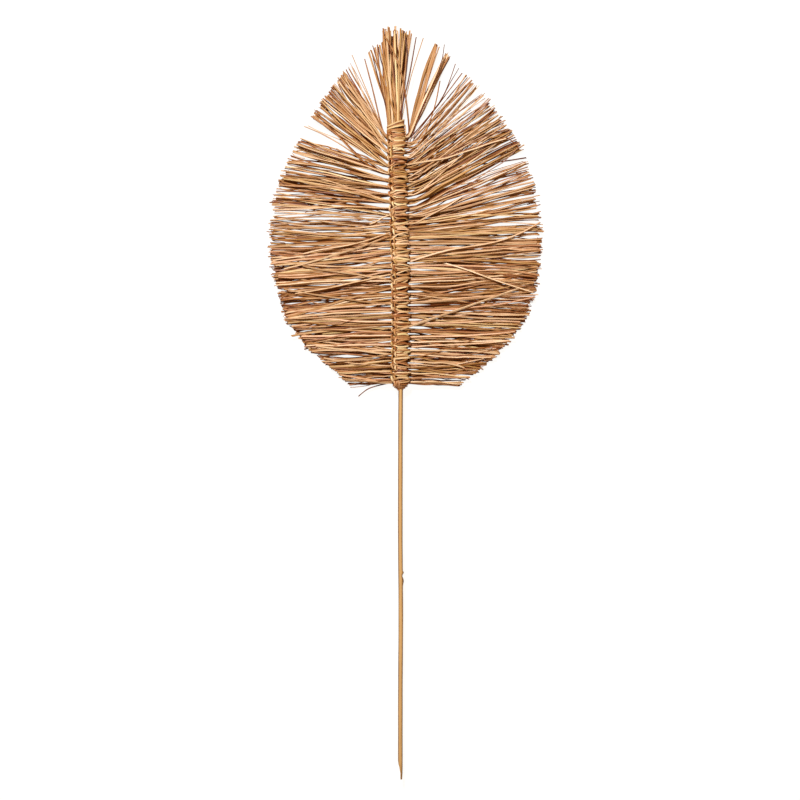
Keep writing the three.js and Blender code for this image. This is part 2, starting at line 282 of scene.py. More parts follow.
# Stretches of the stick that are cut finer: low end, high end and cuts
FINE_CUTS = [(SCAR_Y - 16, SCAR_Y + 18, 5), (-460, -445, 1)]

# Seeds, one for each piece
CORE_SEED = 7
COURSE_SEED = 100
BUNCH_SEED = 500
BINDING_SEED = 900


class StrawSettings(bpy.types.PropertyGroup):
    """Sizes and colours of the straws of the blade, the core and the tuft."""

    width: FloatProperty(
        name="Width", description="Usual width of a straw", default=2.1 * MM, unit="LENGTH"
    )
    flatness: FloatProperty(
        name="Flatness", description="Depth of a straw as a share of its width", default=0.7
    )
    per_course: IntProperty(name="Per course", description="Straws in a usual course or bunch", default=14)
    # The dark colour is also the colour of the painted shade in the pile and along the straws' edges
    dark: FloatVectorProperty(
        name="Dark", description="Oldest, brownest straw", subtype="COLOR", default=(0.19, 0.036, 0.001)
    )
    middle: FloatVectorProperty(
        name="Middle", description="Usual straw", subtype="COLOR", default=(0.47, 0.223, 0.075)
    )
    light: FloatVectorProperty(
        name="Light", description="Palest, cleanest straw", subtype="COLOR", default=(0.86, 0.62, 0.39)
    )


class BindingSettings(bpy.types.PropertyGroup):
    """Sizes and colours of the binding straw."""

    width: FloatProperty(name="Width", description="Width of one strand", default=2.1 * MM, unit="LENGTH")
    strands: IntProperty(name="Strands", description="Strands side by side in one turn", default=5)
    # The dark colour is the painted shade in the creases and along the strands' edges, and the brownest
    # binding straw
    dark: FloatVectorProperty(
        name="Dark", description="Brown of the creases", subtype="COLOR", default=(0.19, 0.036, 0.001)
    )
    middle: FloatVectorProperty(
        name="Middle", description="Usual binding straw", subtype="COLOR", default=(0.50, 0.242, 0.084)
    )
    light: FloatVectorProperty(
        name="Light", description="Worn, pale binding straw", subtype="COLOR", default=(0.89, 0.65, 0.38)
    )


class StickSettings(bpy.types.PropertyGroup):
    """Size and colours of the bamboo stick."""

    diameter: FloatProperty(
        name="Diameter", description="Thickness of the split bamboo", default=5.6 * MM, unit="LENGTH"
    )
    # The dark colour is also the painted shade on the stick's flanks
    dark: FloatVectorProperty(
        name="Dark", description="Fibre lines and the split", subtype="COLOR", default=(0.17, 0.07, 0.02)
    )
    light: FloatVectorProperty(
        name="Light", description="Planed bamboo", subtype="COLOR", default=(0.67, 0.395, 0.15)
    )


class StageSettings(bpy.types.PropertyGroup):
    """Floor, light and camera."""

    frame_width: FloatProperty(
        name="Frame width", description="Width of the picture on the leaf", default=0.96, unit="LENGTH"
    )
    aim_above: FloatProperty(
        name="Aim above", description="How far past the leaf's middle the camera looks",
        default=4.5 * MM, unit="LENGTH",
    )
    lens: FloatProperty(name="Lens", description="Focal length in millimetres", default=100.0)
    floor_size: FloatProperty(
        name="Floor size", description="Side of the floor", default=40.0, unit="LENGTH"
    )
    floor: FloatVectorProperty(
        name="Floor", description="Colour of the floor", subtype="COLOR", default=(0.12, 0.12, 0.12)
    )
    floor_glow: FloatProperty(
        name="Floor glow", description="Light of the floor itself, as of a light table", default=0.96
    )
    key_power: FloatProperty(name="Key", description="Power of the key light", default=78.0, unit="POWER")
    key_place: FloatVectorProperty(
        name="Key place", description="Where the key light hangs", subtype="TRANSLATION",
        default=(-0.5, 1.45, 2.0),
    )
    key_size: FloatProperty(
        name="Key size", description="Side of the key light", default=0.35, unit="LENGTH"
    )
    fill_colour: FloatVectorProperty(
        name="Fill colour", description="Colour of the light from all round", subtype="COLOR",
        default=(1.0, 0.67, 0.33),
    )
    fill: FloatProperty(name="Fill", description="Strength of the light from all round", default=0.28)


# Plan of the leaf


def lerp(low, high, share):
    """The value at a share of the way from low to high."""
    return low + (high - low) * share


def spine_x(y):
    """Sideways place of the spine's axis at a height: straight, then leaning left near the tip."""
    share = max(0.0, y - LEAN_FROM_Y) / (SPINE_TOP_Y - LEAN_FROM_Y)
    return LEAN * share**LEAN_POWER


def edge_reach(side, y):
    """How far out the trimmed outline is at a height."""
    return np.interp(y, *zip(*EDGE[side]))


def fan_angle(side, place):
    """Rise of the straw, in degrees, at a place in the courses."""
    keys = FAN[side]
    after = next((i for i, key in enumerate(keys) if key[0] > place), len(keys) - 1)
    (from_place, from_angle), (to_place, to_angle) = keys[after - 1], keys[after]
    return lerp(from_angle, to_angle, (place - from_place) / (to_place - from_place))


def trim_length(start, angle, side):
    """How far a straw runs from a point, at a rise on one side, until the trimmed outline."""
    inside, outside = 0.0, LEAF_HIGH.y
    way_x, way_y = math.cos(math.radians(angle)), math.sin(math.radians(angle))
    for _ in range(24):
        middle = (inside + outside) / 2
        y = start[1] + way_y * middle
        if side * start[0] + way_x * middle < edge_reach(side, y) and y < EDGE[side][-1][0]:
            inside = middle
        else:
            outside = middle
    return inside


# Straws


def activate(piece):
    bpy.ops.object.select_all(action="DESELECT")
    piece.select_set(True)
    bpy.context.view_layer.objects.active = piece


def select_parts(piece, parts, chosen):
    """Selects, in edit mode, the vertices, edges or faces of a piece that a test chooses."""
    bpy.ops.mesh.select_mode(type={"vertices": "VERT", "edges": "EDGE", "polygons": "FACE"}[parts])
    bpy.ops.mesh.select_all(action="DESELECT")
    bpy.ops.object.mode_set(mode="OBJECT")
    for part in getattr(piece.data, parts):
        part.select = chosen(part)
    bpy.ops.object.mode_set(mode="EDIT")


def span(edge, corners, axis):
    """How far an edge of a mesh runs along an axis."""
    first, second = (corners[corner].co[axis] for corner in edge.vertices)
    return abs(first - second)


def straw_blank(name, sides, cuts, hollow=True):
    """A straight straw of unit length and width, up +Z: hollow ends, and a fold pressed along its front."""
    wall, hollow_depth, fold = 0.15, 0.006, 0.16
    bpy.ops.object.select_all(action="DESELECT")
    bpy.ops.mesh.primitive_cylinder_add(vertices=sides, radius=0.5, depth=1, location=(0, 0, 0.5))
    blank = bpy.context.object
    blank.name = name
    bpy.ops.object.transform_apply(location=True, rotation=True, scale=True)
    corners = blank.data.vertices
    bpy.ops.object.mode_set(mode="EDIT")
    if hollow:
        for inward, end in ((1, 0), (-1, 1)):
            select_parts(blank, "polygons", lambda face: abs(face.center.z - end) < 0.001)
            bpy.ops.mesh.inset(thickness=wall)
            bpy.ops.mesh.extrude_region_move(
                TRANSFORM_OT_translate={"value": (0, 0, inward * hollow_depth)}
            )
    select_parts(blank, "edges", lambda edge: span(edge, corners, 2) > 0.5)
    bpy.ops.mesh.subdivide(number_cuts=cuts)
    select_parts(blank, "vertices", lambda corner: abs(corner.co.x) < 0.01 and corner.co.y > 0.1)
    bpy.ops.transform.translate(value=(0, -fold, 0))
    bpy.ops.object.mode_set(mode="OBJECT")
    blank.hide_render = True
    return blank


# How straws vary: roll and twist in radians, of a loose straw and of a bound one, the swelling along it,
# the slant of its cut ends, the length of a weathered end, and the gap that is left above the floor
LOOSE_ROLL = 0.35
LOOSE_TWIST = 0.9
BOUND_ROLL = 0.12
SWELLING = 0.06
CUT_SLANT = 0.8
WORN_END = 7
FLOOR_GAP = 0.05


class StrawStock:
    """The blanks that straws are copied from, with their points read once."""

    def __init__(self):
        self.blanks = {
            "wing": straw_blank("wing_blank", 8, 13),
            "across": straw_blank("across_blank", 8, 27),
            "fibre": straw_blank("fibre_blank", 5, 9, hollow=False),
            "strand": straw_blank("strand_blank", 8, 23, hollow=False),
            "hitch": straw_blank("hitch_blank", 8, 11, hollow=False),
        }
        self.points = {}
        for kind, blank in self.blanks.items():
            read = np.zeros(len(blank.data.vertices) * 3)
            blank.data.vertices.foreach_get("co", read)
            self.points[kind] = read.reshape(-1, 3)

    def lay(self, kind, path, width, flatness, rng, ups=None, root_warp=1.0, taper=0.2, tone=None, hue=None,
            hue_from=0.0):
        """A copy of a blank, bent along a path in millimetres. ups are the directions its front faces."""
        own = self.points[kind]
        share, at = np.unique(np.round(own[:, 2], 5), return_inverse=True)
        share = gather(share, root_warp, kind == "across")
        spots, ways, fronts, length = smooth_path(path, share, ups)
        sideways = np.cross(fronts, ways)
        sideways /= np.linalg.norm(sideways, axis=1)[:, None]
        outwards = np.cross(ways, sideways)
        roll = rng.gauss(0, LOOSE_ROLL if ups is None else BOUND_ROLL)
        twist = rng.gauss(0, LOOSE_TWIST) if ups is None else 0
        roll = roll + twist * (share - 0.5)
        swell = 1 + SWELLING * np.sin(share * rng.uniform(9, 22) + rng.uniform(0, 6)) - taper * share
        across = own[:, 0] * width * swell[at]
        through = own[:, 1] * width * flatness * swell[at]
        cos, sin = np.cos(roll)[at], np.sin(roll)[at]
        cut = rng.uniform(-CUT_SLANT, CUT_SLANT) * across * ((share < 0.001) | (share > 0.999))[at]
        placed = (
            spots[at]
            + sideways[at] * (across * cos - through * sin)[:, None]
            + outwards[at] * (across * sin + through * cos)[:, None]
            + ways[at] * cut[:, None]
        )
        placed[:, 2] += max(0.0, FLOOR_GAP - placed[:, 2].min())
        mesh = self.blanks[kind].data.copy()
        mesh.vertices.foreach_set("co", (placed * MM).ravel())
        tip_way = np.minimum(share, 1 - share) if kind == "across" else 1 - share
        marks = {
            "tone": np.full(len(own), min(1.0, max(0.0, rng.gauss(0.52, 0.2) if tone is None else tone))),
            "hue": np.full(len(own), lerp(hue_from, 1.0, rng.random()) if hue is None else hue),
            "along": (share * length)[at],
            "across": own[:, 0] * 2,
            "tip": np.clip(1 - tip_way * length / WORN_END, 0, 1)[at],
        }
        for mark, values in marks.items():
            mesh.attributes.new("straw_" + mark, "FLOAT", "POINT").data.foreach_set("value", values)
        straw = bpy.data.objects.new("straw", mesh)
        bpy.context.scene.collection.objects.link(straw)
        return straw

    def clear(self):
        for blank in self.blanks.values():
            bpy.data.objects.remove(blank)


def gather(share, power, midway):
    """Shares of a straw's length, drawn together at its root or, where it runs right across, midway."""
    if not midway:
        return share**power
    apart = 2 * share - 1
    return 0.5 + 0.5 * np.sign(apart) * np.abs(apart) ** power


def smooth_path(path, share, ups):
    """Places, directions and fronts at shares of a smooth curve's length through some points."""
    points = np.asarray(path, float)
    fronts = np.tile((0.0, 0.0, 1.0), (len(points), 1)) if ups is None else np.asarray(ups, float)
    both = np.hstack([points, fronts])
    both = np.vstack([2 * both[0] - both[1], both, 2 * both[-1] - both[-2]])
    step = np.linspace(0, 1, 10, endpoint=False)[:, None]
    fine = []
    for a, b, c, d in zip(both, both[1:], both[2:], both[3:]):
        bend, turn = 2 * a - 5 * b + 4 * c - d, 3 * b - a - 3 * c + d
        fine.append((2 * b + (c - a) * step + bend * step**2 + turn * step**3) / 2)
    fine = np.vstack(fine + [both[-2:-1]])
    far = np.concatenate([[0], np.cumsum(np.linalg.norm(np.diff(fine[:, :3], axis=0), axis=1))])
    read = np.column_stack([np.interp(share * far[-1], far, column) for column in fine.T])
    spots = read[:, :3]
    ways = np.gradient(spots, axis=0)
    ways /= np.linalg.norm(ways, axis=1)[:, None]
    return spots, ways, read[:, 3:], far[-1]


def finish_piece(straws, name, node, material):
    """Joins straws into one piece, which stands for a node of the frame."""
    activate(straws[0])
    for straw in straws:
        straw.select_set(True)
    if len(straws) > 1:
        bpy.ops.object.join()
    piece = bpy.context.object
    piece.name = name
    piece.data.name = name
    piece.data.materials.clear()
    piece.data.materials.append(material)
    bpy.ops.object.shade_smooth_by_angle(angle=math.radians(55))
    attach(piece, BODY)
    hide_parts(node)


def leave_lashing(side, rise, rng):
    """Slope in radians and length of a straw's first stretch: on the right it may start level."""
    turn = math.radians(rise)
    if side < 0 or rise < LEVEL:
        return turn * 0.95, 10.0
    if rise > STEEP:
        return turn * 0.4, 5.0
    return turn * rng.uniform(0.0, 0.95), rng.uniform(6, 18)


def slot_margin(side, course):
    """Room that the lashing leaves below and above a bunch: it squeezes some bunches more than others."""
    low, high = FAN_MARGIN[side] if course >= SQUEEZED_FROM else BLADE_MARGIN
    return random.Random(course * 2 + side).uniform(low, high)


def wing_path(side, course, share, level, rng, rise, reach=None):
    """Points of one wing of a straw, from the lashing to the trimmed edge.

    share is its place across the bunch, level its place in the pile, and rise its slope in degrees.
    """
    slot_y = FIRST_Y + course * PITCH
    root_share = min(1.0, max(0.0, share + rng.gauss(0, 0.3)))
    margin = slot_margin(side, course)
    root_y = lerp(slot_y + margin, slot_y + PITCH - margin, root_share)
    root = np.array([spine_x(root_y) + side * ROOT_X[side], root_y])
    edge_y = lerp(slot_y, slot_y + PITCH, share)
    edge = np.array([spine_x(edge_y) + side * ROOT_X[side], edge_y])
    if reach is None:
        reach = trim_length(edge, rise, side)
        short = rng.random() < 0.07 and rise < STEEP
        reach *= rng.uniform(0.7, 0.95) if short else 1 + rng.gauss(-0.004, 0.015)
    turn = math.radians(rise)
    tip = edge + reach * np.array([side * math.cos(turn), math.sin(turn)])
    normal = np.array([-math.sin(turn), side * math.cos(turn)])
    bow, wave = rng.gauss(0, 0.016) * reach, rng.gauss(0, 0.006) * reach
    kink = rng.gauss(0, 0.09) * reach if rng.random() < 0.2 else 0.0
    kink_at = rng.uniform(0.35, 0.85)
    waist_z = lerp(WAIST_LOW_Z, WAIST_HIGH_Z, level)
    root_z = lerp(WAIST_LOW_Z, ROOT_HIGH_Z, level)
    tip_z = max(FLOOR_STRAW_Z, lerp(FLOOR_STRAW_Z, TIP_HIGH_Z, level) + rng.gauss(0, 0.6))
    leave, lead = leave_lashing(side, rise, rng)
    start = root + lead * np.array([side * math.cos(leave), math.sin(leave)])
    points = [(root[0] - side * 5.0, root[1], waist_z), (*root, root_z), (*start, root_z)]
    for part in (0.18, 0.34, 0.5, 0.66, 0.83):
        off = bow * math.sin(math.pi * part) + wave * math.sin(2 * math.pi * part)
        off += kink * max(0.0, part - kink_at) + rng.gauss(0, 0.3)
        spot = start + (tip - start) * part + normal * off
        z = lerp(root_z, tip_z, part**0.7) + rng.gauss(0, 0.3)
        points.append((*spot, max(FLOOR_STRAW_Z, z)))
    points.append((*(tip + normal * kink * (1 - kink_at)), tip_z))
    return points


def part_at_notch(side, place, rise, rng):
    """Keeps a straw out of its side's notch."""
    notch, below, above = NOTCH[side]
    if abs(place - notch) > NOTCH_FELT:
        return rise
    if place < notch:
        return min(rise, below + rng.gauss(0, 0.6))
    return max(rise, above + rng.gauss(0, 0.6))


def place_in(course, share):
    """Place in the courses of a straw at a share of its bunch, clear of the bunches next to it."""
    return course + 0.01 + 0.98 * share


def bunch_rises(side, course, count, rng):
    """Slopes of a bunch's straws: they keep together in a few clusters, and some cross their neighbours."""
    spread = FAN_SPREAD[side] if course >= OPEN_FROM else BLADE_SPREAD
    clusters = [rng.gauss(0, spread) for _ in range(3)]
    rises = []
    for i in range(count):
        place = place_in(course, (i + 0.5) / count)
        rise = fan_angle(side, place) + clusters[i * 3 // count] + rng.gauss(0, spread * 0.8)
        if rng.random() < 0.24:
            rise += rng.gauss(0, 2.3 * spread)
        if bunch_kind(side, course) == "topmost":
            rise = TOP_BUNDLES[i % 2] + rng.gauss(0, 1.1)
        elif rise > STEEPEST[side]:
            rise = STEEPEST[side] - abs(rng.gauss(0, 2))
        rises.append(part_at_notch(side, place, rise, rng))
    return rises


def bunch_kind(side, course):
    """What sets a bunch apart from the usual one."""
    if side < 0:
        if course in THIN_LEFT:
            return "thin"
        return "full" if course >= FULL_LEFT_FROM else "usual"
    if course == COURSE_COUNT - 1:
        return "topmost"
    if course >= SPARSE_FROM:
        return "sparse"
    return "open" if course >= OPEN_FROM else "usual"


def straw_width(settings, rng):
    usual = settings.width / MM
    return usual * (rng.uniform(0.5, 0.8) if rng.random() < 0.22 else rng.uniform(0.85, 1.3))


def straw_tone(usual, level, rng):
    """The straw's own tone, which differs at random, made darker the deeper it lies in the pile: painted
    shade of the pile's depths.
    """
    return rng.gauss(usual, 0.16) + 0.35 * (level - 0.5)


def least_hue(course):
    """The fanned straws of the upper courses are yellower than the rest."""
    return 0.25 if course >= ACROSS_COUNT else 0.0


def odd_path(side, course, spread, rng):
    """Points of a straw from anywhere in a bunch, its slope spread about the bunch's own."""
    place = course + 0.5
    rise = part_at_notch(side, place, fan_angle(side, place) + rng.gauss(0, spread), rng)
    return wing_path(side, course, rng.random(), rng.random(), rng, rise)


def fibres(stock, side, course, count, spread, rng):
    """Thin broken leaves and split stalks among the straws of a bunch."""
    made = []
    for _ in range(count):
        path = odd_path(side, course, spread, rng)
        tone, width = rng.uniform(0.1, 0.8), rng.uniform(0.8, 1.3)
        made.append(stock.lay("fibre", path, width, 0.8, rng, tone=tone, hue_from=least_hue(course)))
    return made


def frays(stock, side, course, rng):
    """Short split ends at the trimmed edge."""
    made = []
    for _ in range(2):
        path = odd_path(side, course, 2, rng)
        tip, before = np.array(path[-1]), np.array(path[-2])
        way = (tip - before) / np.linalg.norm(tip - before)
        bend = np.array([-way[1], way[0], 0.2]) * rng.gauss(0, 2.0)
        start, end = tip - way * rng.uniform(10, 18), tip + way * rng.uniform(-2, 0.6) + bend
        tone, width = rng.uniform(0.1, 0.7), rng.uniform(0.8, 1.4)
        short = [start, tip - way * 4 + bend * 0.3, end]
        made.append(stock.lay("fibre", short, width, 0.7, rng, tone=tone, hue_from=least_hue(course)))
    return made


def shade_underlay(stock, side, course, settings, rng):
    """Dark straws at the bottom of the pile, which close it from below; their dark tone is painted shade of
    the pile's depths.
    """
    made = []
    count = 3
    for i in range(count):
        share = (i + 0.5) / count
        place = place_in(course, share)
        rise = part_at_notch(side, place, fan_angle(side, place) + rng.gauss(0, 1.2), rng)
        path = wing_path(side, course, share, 0.0, rng, rise)
        width = settings.width / MM * rng.uniform(0.9, 1.3)
        made.append(stock.lay("fibre", path, width, 0.45, rng, tone=rng.uniform(0.1, 0.4)))
    return made


def strays(stock, course, settings, rng, sides):
    """The stray, bent and broken straws that lie with a course or bunch."""
    made = []
    for side, stray_course, rise, reach, tone, level in STRAYS:
        if stray_course == course and side in sides:
            path = wing_path(side, course, 0.5, level, rng, rise, reach)
            top = ON_TOP_Z if tone > ON_TOP_TONE else 0.0
            lifted = [(x, y, max(z, top - 0.3 * i) if i > 1 else z) for i, (x, y, z) in enumerate(path)]
            width = settings.width / MM * (rng.uniform(1.0, 1.35) if top else rng.uniform(0.8, 1.1))
            made.append(stock.lay("wing", lifted, width, 0.8, rng, tone=tone, hue=0.5))
    for side, loose_course, width, tone, points in LOOSE:
        if loose_course == course and side in sides:
            made.append(stock.lay("wing", points, width, 0.8, rng, tone=tone, hue=0.3))
    return made


def across_straws(stock, course, settings, rng):
    """The straws of a course, which run from edge to edge and cross in the lashing's grip."""
    count = settings.per_course
    levels = rng.sample(range(count), count)
    rises = {side: bunch_rises(side, course, count, rng) for side in SIDE_NAMES}
    straws = []
    for i in range(count):
        level = levels[i] / (count - 1)
        share = (i + 0.5) / count
        left, right = (wing_path(side, course, share, level, rng, rises[side][i]) for side in SIDE_NAMES)
        flatness = settings.flatness * rng.uniform(0.65, 1.35)
        width = straw_width(settings, rng)
        tone = straw_tone(ACROSS_TONE, level, rng)
        straws.append(stock.lay(
            "across", left[::-1] + right, width, flatness, rng, root_warp=1.4, taper=0.15, tone=tone
        ))
    for side in SIDE_NAMES:
        straws += fibres(stock, side, course, 2, 5, rng)
        straws += frays(stock, side, course, rng)
        straws += shade_underlay(stock, side, course, settings, rng)
    return straws + strays(stock, course, settings, rng, SIDE_NAMES)


def side_straws(stock, side, course, settings, rng):
    """The straws of a bunch that is laid in from one side."""
    kind = bunch_kind(side, course)
    count = settings.per_course + MORE_STRAWS[kind]
    levels = rng.sample(range(count), count)
    straws = []
    for i, rise in enumerate(bunch_rises(side, course, count, rng)):
        level = levels[i] / (count - 1)
        path = wing_path(side, course, (i + 0.5) / count, level, rng, rise)
        flatness = settings.flatness * rng.uniform(0.65, 1.35)
        width = straw_width(settings, rng) * WIDTH_SHARE[kind]
        tone = straw_tone(SIDE_TONE, level, rng)
        straws.append(stock.lay(
            "wing", path, width, flatness, rng, root_warp=1.5, tone=tone, hue_from=least_hue(course)
        ))
    if kind in ("open", "sparse"):
        straws += fibres(stock, side, course, 4, 10, rng)
    elif kind != "topmost":
        straws += fibres(stock, side, course, 2, 5, rng)
        straws += frays(stock, side, course, rng)
    if kind in ("usual", "full", "open"):
        straws += shade_underlay(stock, side, course, settings, rng)
    return straws + strays(stock, course, settings, rng, (side,))


# Lashing


def smooth_step(share):
    """Eases a share in and out between 0 and 1."""
    share = min(1.0, max(0.0, share))
    return share * share * (3 - 2 * share)


def turn_path(left_y, right_y, next_y, spread, lift, girth=1.0, bulge=0.0):
    """One strand of a turn: over the front, pinched at both its ends, and behind to the next turn."""
    reach_x, reach_z = (SPINE_HALF_WIDTH - 0.4) * girth + lift, (SPINE_HALF_DEPTH - 0.4) * girth + lift
    left_reach = reach_x - LEFT_TUCK * girth
    pinch = 0.3
    places = []
    for degrees in (180, 158, 136, 120, 104, 88, 68, 48, 28, 8, -25):
        turn = math.radians(degrees)
        x, up = math.cos(turn), math.sin(turn)
        opened = smooth_step((HITCH_ANGLE + 2 - degrees) / 40) * smooth_step((degrees - 2) / 58)
        y = lerp(left_y, right_y, (x + 1) / 2) + spread * lerp(pinch, 1, opened)
        far = reach_x + bulge * x if x > 0 else lerp(reach_x, left_reach, -x)
        places.append(((far * x, y, SPINE_Z + reach_z * up), (x * reach_z, 0, up * reach_x)))
    squeezed = spread * pinch
    low = 0.8 + lift * 0.3
    places.append(((reach_x - 1.2, right_y + squeezed, 2.6), (0.7, 0, -0.7)))
    places.append(((6.2 * girth, right_y + squeezed, low), (0, 0, -1)))
    places.append(((-6.2 * girth, next_y + squeezed, low), (0, 0, -1)))
    places.append(((-left_reach + 1.2, next_y + squeezed, 2.4), (-0.7, 0, -0.7)))
    places.append(((-left_reach, next_y + squeezed, SPINE_Z - 2), (-1, 0, 0)))
    path = [(x + spine_x(y), y, z) for (x, y, z), _ in places]
    return path, [front for _, front in places]


def lashing_straws(stock, settings, rng):
    """The turns of the lashing, each of several strands side by side."""
    straws = []
    for turn in range(COURSE_COUNT):
        y = FIRST_Y + (turn + 0.5) * PITCH + rng.gauss(0, 0.4)
        next_y = min(y + PITCH, LAST_Y)
        slant = rng.gauss(0.5, 0.8)
        full = rng.uniform(-0.3, 0.5)
        for strand in range(settings.strands):
            place = (2 * strand + 1) / settings.strands - 1
            spread = place * 0.58 * PITCH + rng.gauss(0, 0.75)
            lean = slant + rng.gauss(0, 1.25)
            lift = full + rng.uniform(-0.3, 0.9)
            path, ups = turn_path(y - lean, y + lean, next_y, spread, lift, bulge=1.6 - 2.6 * abs(place))
            width = settings.width / MM * rng.uniform(0.65, 1.25)
            tone = rng.gauss(0.67, 0.27) - 0.15 * abs(place)
            straws.append(stock.lay("strand", path, width, 0.7, rng, ups=ups, taper=0, tone=tone))
    return straws


def hitch_frame(y):
    """Place of the line of hitches on the left of the front, with its outward and sideways directions."""
    turn = math.radians(HITCH_ANGLE)
    outward = np.array([math.cos(turn) / SPINE_HALF_WIDTH, 0, math.sin(turn) / SPINE_HALF_DEPTH])
    outward /= np.linalg.norm(outward)
    sideways = np.array([outward[2], 0, -outward[0]])
    across = lerp(SPINE_HALF_WIDTH, SPINE_HALF_WIDTH - LEFT_TUCK, -math.cos(turn)) * math.cos(turn)
    spot = np.array([spine_x(y) + across, y, SPINE_Z + SPINE_HALF_DEPTH * math.sin(turn)])
    return spot, outward, sideways


def hitch_straws(stock, settings, rng):
    """The hitches: two rows of short slanting links, which come up out of the pile and dive again."""
    straws = []
    for turn in range(1, 2 * COURSE_COUNT + 2):
        row = 1 if turn % 2 else -1
        middle_y = FIRST_Y + (turn / 2 - 0.4) * PITCH + rng.gauss(0, 0.7)
        middle = row * rng.uniform(1.6, 2.6)
        slant = rng.gauss(1.0, 0.8)
        size = rng.uniform(0.8, 1.2)
        path, ups = [], []
        for side, rise, out in HITCH_LINK:
            spot, outward, sideways = hitch_frame(middle_y + rise * size + rng.gauss(0, 0.2))
            path.append(spot + sideways * (middle + side * slant + rng.gauss(0, 0.2)) + outward * out)
            ups.append(outward)
        tone, width = rng.gauss(0.68, 0.2), rng.uniform(1.9, 2.8)
        straws.append(stock.lay("hitch", path, width, 0.85, rng, ups=ups, taper=0, tone=tone))
    return straws


def base_knot_straws(stock, settings, rng):
    """Turns that close in on the stick below the first course, and loops that stand up over them."""
    straws = []
    for y, girth, lift in KNOT_TURNS:
        lean = rng.gauss(0.2, 0.5)
        path, ups = turn_path(y - lean, y + lean, y, 0, lift, girth)
        straws.append(stock.lay("strand", path, settings.width / MM, 0.6, rng, ups=ups, taper=0))
    for x in KNOT_LOOPS:
        high = SPINE_Z + 6.2 + x * 0.25
        path = [
            (x - 0.8, 8.5, high - 0.6),
            (x - 0.3, 6, high + 1.4),
            (x, 3, high + 1),
            (x * 0.8, -0.5, high - 2),
        ]
        tone, width = rng.uniform(0.5, 0.8), rng.uniform(1.7, 2.1)
        straws.append(stock.lay("hitch", path, width, 0.8, rng, taper=0, tone=tone))
    return straws


def top_band_straws(stock, settings, rng):
    """Broad strands that fan out from the last hitch over the front, part at the right and fold behind."""
    straws = []
    strand_width = settings.width / MM * 1.1
    for place, (left, right) in enumerate(BAND_STRANDS):
        left_y, right_y = BAND_HIGH.y + left, BAND_HIGH.y + right + rng.gauss(0, 0.3)
        path, ups = turn_path(left_y, right_y, left_y, 0, rng.uniform(0.2, 0.9), 0.97)
        tone = 0.85 if place == len(BAND_STRANDS) - 1 else rng.gauss(0.54, 0.16)
        straws.append(stock.lay("strand", path, strand_width, 0.65, rng, ups=ups, taper=0, tone=tone))
    straws.append(stock.lay("hitch", BAND_UPRIGHT, 1.5, 0.8, rng, taper=0, tone=0.75))
    return straws


# Core and tuft


def ring_straws(stock, settings, rng):
    """The ring of lengthwise straws round the stick, gathered in at its foot."""
    straws = []
    foot_y = KNOT_LOW.y + 2
    width = settings.width / MM * 1.1
    for i in range(RING_COUNT):
        turn = 2 * math.pi * i / RING_COUNT
        x, z = (SPINE_HALF_WIDTH - 3.2) * math.cos(turn), (SPINE_HALF_DEPTH - 2.8) * math.sin(turn)
        path = []
        for y in (foot_y, 3, 8, *np.linspace(20, SPINE_TOP_Y - 1, 8)):
            girth = lerp(0.35, 1, smooth_step((y - foot_y) / 9))
            flare = 1.25 if x > 0 and y > LAST_Y else 1
            path.append((spine_x(y) + x * girth * flare, y, SPINE_Z + z * girth))
        # Dark tone: painted shade where the ring shows between the lashing's turns
        tone = rng.uniform(0, RING_SHADE_TONE)
        straws.append(stock.lay("across", path, width, 0.7, rng, taper=0, tone=tone))
    return straws


def tuft_tips(rng):
    """The tips of the tuft's straws, each with its share of the usual width and its tone."""
    tips = []
    for i in range(TUFT_DEEP):
        tip_x = lerp(*TUFT_DEEP_X, i / (TUFT_DEEP - 1)) + rng.gauss(0, 1.0)
        tip_y = TUFT_DEEP_Y + rng.gauss(0, 4)
        # Deep straws are nearly black-brown: painted shade inside the tuft
        tips.append((tip_x, tip_y, rng.uniform(1.1, 1.5), rng.uniform(0.0, 0.04)))
    for i in range(TUFT_OPEN):
        tip_x = lerp(*TUFT_OPEN_X, i / (TUFT_OPEN - 1)) + rng.gauss(0, 1.4)
        tip_y = lerp(*TUFT_OPEN_Y, i / (TUFT_OPEN - 1)) + rng.gauss(0, 2)
        tips.append((tip_x, tip_y, rng.uniform(0.75, 1.3), max(0.2, rng.gauss(0.7, 0.17))))
    return tips + TUFT_EDGE


